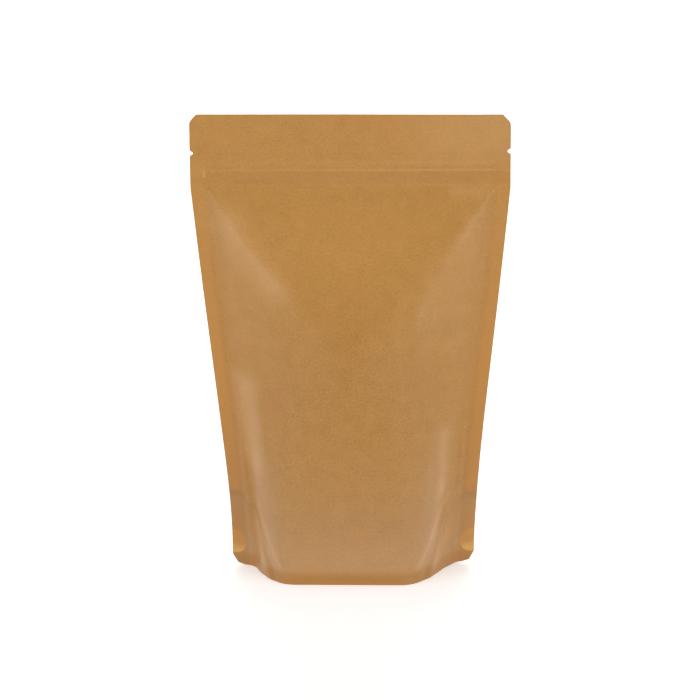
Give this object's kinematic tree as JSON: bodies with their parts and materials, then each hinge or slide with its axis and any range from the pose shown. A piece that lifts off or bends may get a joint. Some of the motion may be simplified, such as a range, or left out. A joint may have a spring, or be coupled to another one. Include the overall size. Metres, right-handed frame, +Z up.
{
  "type": "kraft stand-up pouch",
  "caption": "Filled kraft paper stand-up pouch with a bottom gusset, side seals, tear notches and a shut press strip.",
  "frame": {"origin": "on the ground, under the middle of the pouch", "axes": "+X across the front to its right side, -Y out of the front, +Z up"},
  "size_m": [0.16, 0.0728, 0.234],
  "materials": {
    "kraft": "brown kraft paper laminate with a soft satin sheen"
  },
  "bodies": {
    "root": {"pouch": "kraft"}
  },
  "joints": []
}
